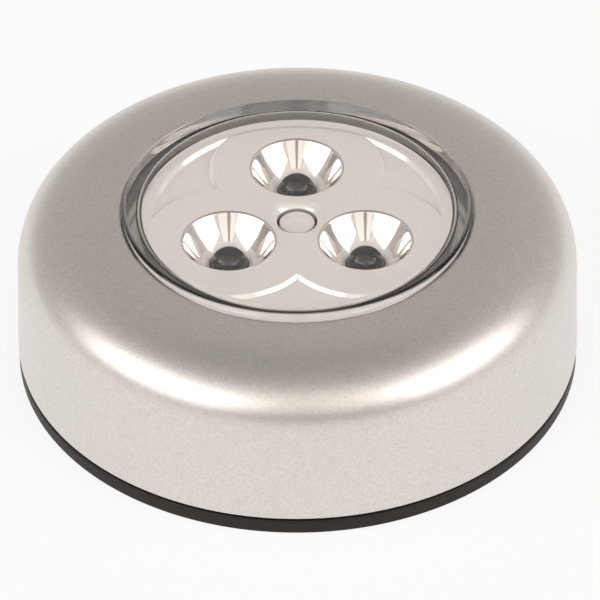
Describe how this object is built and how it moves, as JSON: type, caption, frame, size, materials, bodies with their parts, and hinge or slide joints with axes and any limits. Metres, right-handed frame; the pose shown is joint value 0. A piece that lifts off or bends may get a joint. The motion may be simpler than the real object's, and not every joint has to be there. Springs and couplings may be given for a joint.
{
  "type": "puck light",
  "caption": "Round battery puck light: silver domed housing, clear push lens over a plated reflector with domed diodes, and a black twist-off base.",
  "frame": {"origin": "centre of the flat underside of the back cover, on the light's axis", "axes": "+Z along the light's axis, out of the lens; the single cup is towards +Y and the pair of cups towards -Y"},
  "size_m": [0.068, 0.068, 0.0225],
  "materials": {
    "silver_lacquer": "satin",
    "clear_acrylic": "polished",
    "plated_plastic": "polished",
    "diode_epoxy": "polished",
    "board_laminate": "satin",
    "switch_plastic": "satin",
    "plunger_plastic": "satin",
    "spring_steel": "polished",
    "resistor_lacquer": "satin",
    "tray_plastic": "matte",
    "cell_sleeve": "satin",
    "nickel_plate": "satin",
    "wire_red": "satin",
    "wire_black": "satin",
    "zinc_plate": "satin",
    "cover_plastic": "satin"
  },
  "bodies": {
    "housing": {"housing_shell": "silver_lacquer", "reflector": "plated_plastic", "led_back": "diode_epoxy", "led_left": "diode_epoxy", "led_right": "diode_epoxy", "circuit_board": "board_laminate", "switch_body": "switch_plastic", "switch_spring": "spring_steel", "resistor": "resistor_lacquer", "battery_tray": "tray_plastic", "cell_1": "cell_sleeve", "cell_2": "cell_sleeve", "cell_3": "cell_sleeve", "contact_plate_negative": "nickel_plate", "contact_plate_positive": "nickel_plate", "contact_bridge_left": "nickel_plate", "contact_bridge_right": "nickel_plate", "contact_spring_1": "spring_steel", "contact_spring_2": "spring_steel", "contact_spring_3": "spring_steel", "lead_wire_red": "wire_red", "lead_wire_black": "wire_black", "tray_screw_1": "zinc_plate", "tray_screw_2": "zinc_plate", "tray_screw_3": "zinc_plate", "board_screw_1": "zinc_plate", "board_screw_2": "zinc_plate"},
    "button": {"lens_button": "clear_acrylic"},
    "plunger": {"switch_plunger": "plunger_plastic"},
    "cover": {"back_cover": "cover_plastic"}
  },
  "joints": [
    {"name": "button_press", "type": "slide", "parent": "housing", "child": "button", "axis": [0, 0, -1], "range_m": [0, 0.001], "stiffness_N_per_m": 600, "springref_m": -0.0015},
    {"name": "plunger_press", "type": "slide", "parent": "housing", "child": "plunger", "axis": [0, 0, -1], "range_m": [0, 0.001], "deforming": ["switch_spring"]},
    {"name": "cover_twist", "type": "hinge", "parent": "housing", "child": "cover", "pos_m": [0, 0, 0], "axis": [0, 0, -1], "range_deg": [0, 26]}
  ],
  "couplings": [
    {"joint": "plunger_press", "follows": "button_press", "ratio": 1}
  ]
}
